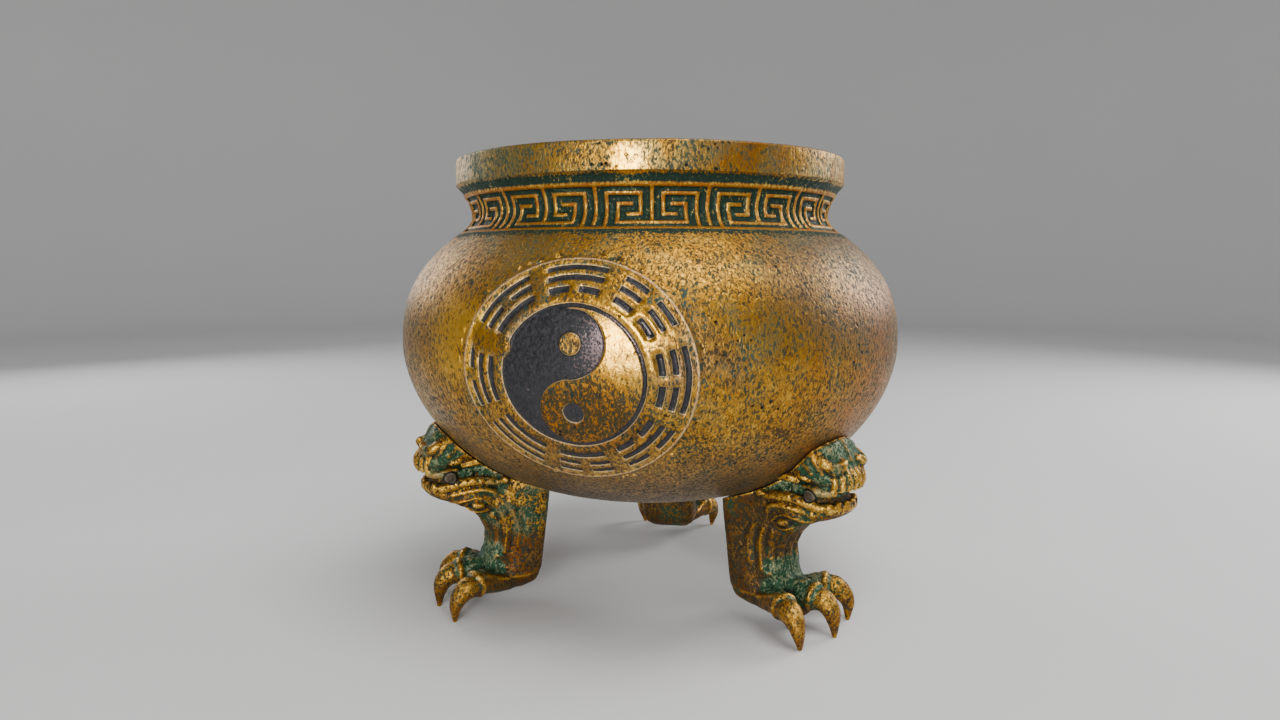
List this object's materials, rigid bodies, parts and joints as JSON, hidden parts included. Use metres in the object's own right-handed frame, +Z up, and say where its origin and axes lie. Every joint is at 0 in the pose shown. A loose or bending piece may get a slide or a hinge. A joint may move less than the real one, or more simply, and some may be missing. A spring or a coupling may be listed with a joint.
{
  "type": "incense burner",
  "caption": "Open, round-bellied bronze incense burner with a key-fret neck and a trigram disc, standing on cast beast-head legs with clawed feet.",
  "frame": {"origin": "on the bowl's axis, at the level of the claw tips that it stands on", "axes": "+Z up out of the mouth, -Y out through the middle of the trigram disc"},
  "size_m": [0.2306, 0.2306, 0.2032],
  "materials": {
    "gilt_bronze": "worn gilt bronze, mottled brown, green in the hollows",
    "green_bronze": "cast bronze under green patina, bright on the raised edges"
  },
  "bodies": {
    "root": {"bowl": "gilt_bronze", "front_right_leg": "green_bronze", "back_leg": "green_bronze", "front_left_leg": "green_bronze"}
  },
  "joints": []
}
